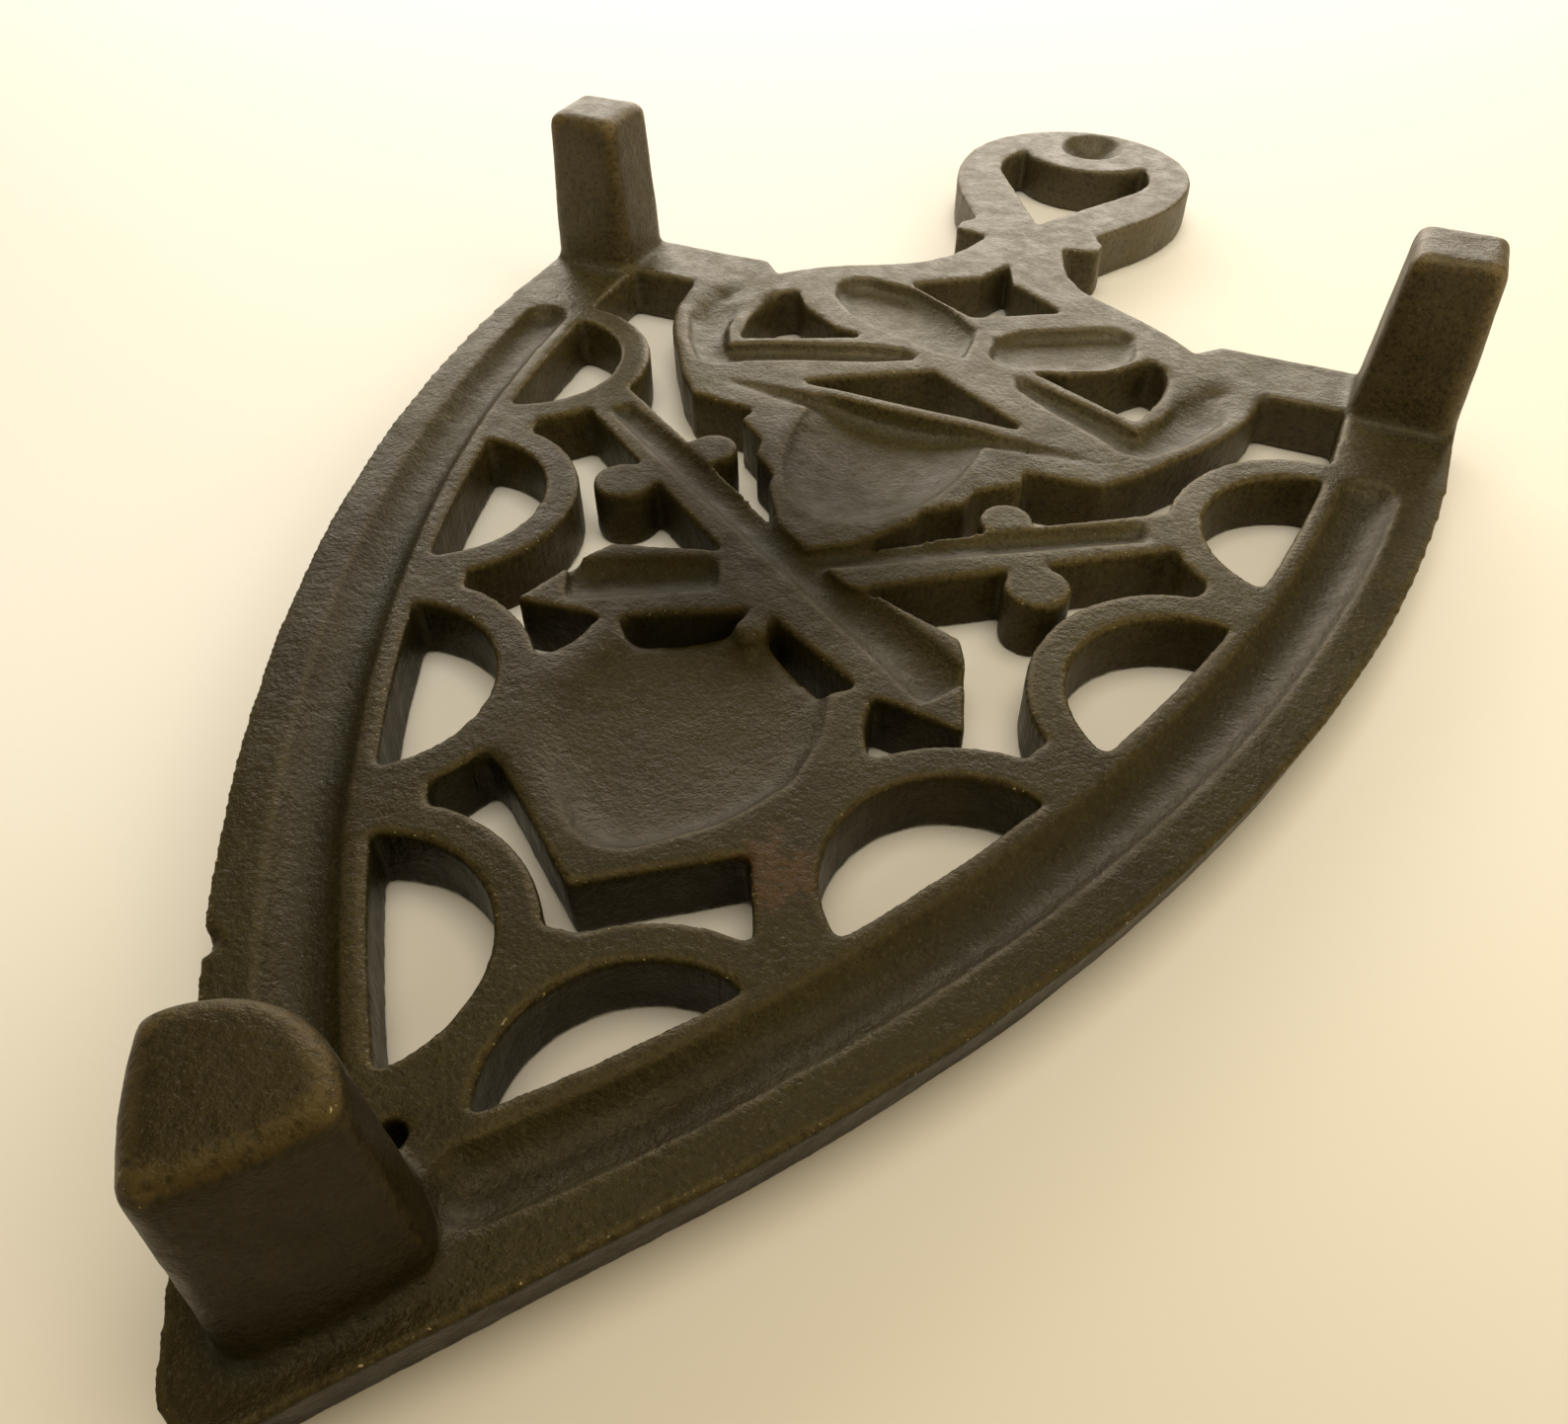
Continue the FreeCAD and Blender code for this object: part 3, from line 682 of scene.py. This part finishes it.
def paper():
    """Pale paper, cooler to the left as painted light, with a faint painted soft shadow in front of the toe.
    """
    n = Nodes("paper")
    tone = n.mix(n.noise(0.25, 2), (0.785, 0.745, 0.695, 1), (0.825, 0.79, 0.75, 1))
    # Painted light: a cooler tint to the left
    tone = n.mix(n.ramp(n.axis(n.place, 0), 0.06, -0.10, 0.0, 0.8), tone, (0.775, 0.77, 0.775, 1))
    in_front = (0.060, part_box("rail_left")[0][1] - 0.055, 0)
    tone = n.mix(n.ramp(n.away(in_front), 0.180, 0.020), tone, (0.50, 0.44, 0.36, 1))
    return n.finish(Base_Color=tone, Roughness=0.7, Normal=n.bump(n.noise(1.2 * MM), 0.15, 0.1 * MM))


# ---------------------------------------------------------------------------
# Floor, light and camera


def floor():
    half = 3.0
    mesh = bpy.data.meshes.new("floor")
    corners = [(-half, -half, 0), (half, -half, 0), (half, half, 0), (-half, half, 0)]
    mesh.from_pydata(corners, [], [(0, 1, 2, 3)])
    mesh.materials.append(paper())
    obj = bpy.data.objects.new("floor", mesh)
    bpy.context.scene.collection.objects.link(obj)


def area_light(name, place, target, size_x, size_y, power, color):
    data = bpy.data.lights.new(name, "AREA")
    data.shape = "RECTANGLE"
    data.size, data.size_y = size_x, size_y
    data.energy = power
    data.color = color
    obj = bpy.data.objects.new(name, data)
    obj.location = place
    obj.rotation_euler = (Vector(target) - Vector(place)).to_track_quat("-Z", "Y").to_euler()
    bpy.context.scene.collection.objects.link(obj)


def sky(color, strength):
    """Even light from all round."""
    world = bpy.data.worlds.new("studio")
    world.use_nodes = True
    background = world.node_tree.nodes["Background"]
    background.inputs["Color"].default_value = color
    background.inputs["Strength"].default_value = strength
    bpy.context.scene.world = world


def camera():
    """A camera at the photo's viewing angle: close, low and in front of the right rail."""
    data = bpy.data.cameras.new("camera")
    data.sensor_width = 36.0
    data.lens = 28.59
    data.clip_start = 0.01
    obj = bpy.data.objects.new("camera", data)
    obj.location = (0.0395414, -0.1102238, 0.0823702)
    obj.rotation_euler = [radians(angle) for angle in (45.5430, 0.4035, 24.0669)]
    bpy.context.scene.collection.objects.link(obj)
    bpy.context.scene.camera = obj


floor()
camera()
area_light("back", (-0.24, 0.60, 0.22), (0, 0.05, 0), 0.9, 0.24, 5.1, (1.0, 0.93, 0.83))
area_light("top", (0.02, 0.02, 0.70), (0.0, 0.03, 0), 0.50, 0.50, 3.1, (1.0, 0.92, 0.73))
area_light("side", (0.55, -0.04, 0.26), (0.05, 0.0, 0), 0.50, 0.40, 1.6, (1.0, 0.86, 0.60))
sky((1.0, 0.85, 0.54, 1), 0.38)
bpy.context.scene.view_settings.view_transform = "Standard"
